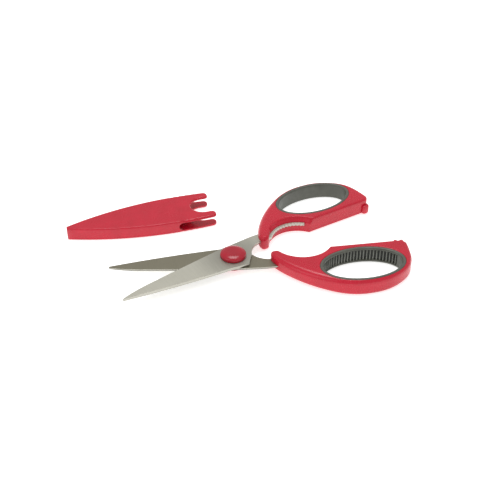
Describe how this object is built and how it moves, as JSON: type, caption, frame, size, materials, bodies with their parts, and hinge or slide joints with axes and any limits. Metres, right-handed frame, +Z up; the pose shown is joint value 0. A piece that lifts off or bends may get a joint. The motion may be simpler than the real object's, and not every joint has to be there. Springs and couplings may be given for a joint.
{
  "type": "poultry shears",
  "caption": "Kitchen poultry shears lying open beside their pulled-off sheath: steel blades, moulded loop handles with soft grip rings, a capped pivot and a toothed nutcracker jaw.",
  "frame": {"origin": "under the pivot, on the surface the shears lie on, which is the flat of the bottom pivot cap", "axes": "+X along the line halfway between the two handles, towards them; +Z up, along the pivot screw towards its head; +Y towards the upper handle and the sheath"},
  "size_m": [0.2264, 0.1524, 0.0125],
  "materials": {
    "blade_steel": "satin ground stainless steel",
    "red_plastic": "satin moulded plastic",
    "grip_rubber": "soft matte grey elastomer",
    "fastener_steel": "turned and stamped steel"
  },
  "bodies": {
    "lower_half": {"lower_blade": "blade_steel", "lower_handle": "red_plastic", "lower_grip_ring": "grip_rubber", "pivot_screw": "fastener_steel", "slip_washer": "fastener_steel", "spring_washer": "fastener_steel", "pivot_nut": "fastener_steel", "top_pivot_cap": "red_plastic", "bottom_pivot_cap": "red_plastic"},
    "upper_half": {"upper_blade": "blade_steel", "upper_handle": "red_plastic", "upper_grip_ring": "grip_rubber"},
    "sheath_body": {"sheath": "red_plastic"}
  },
  "joints": [
    {"name": "blade_pivot", "type": "hinge", "parent": "lower_half", "child": "upper_half", "pos_m": [0, 0, 0.00625], "axis": [0, 0, 1], "range_deg": [-26.2, 28.8]},
    {"name": "sheath_lift", "type": "slide", "parent": "lower_half", "child": "sheath_body", "axis": [0, 0, 1], "range_m": [0, 0.06]}
  ]
}
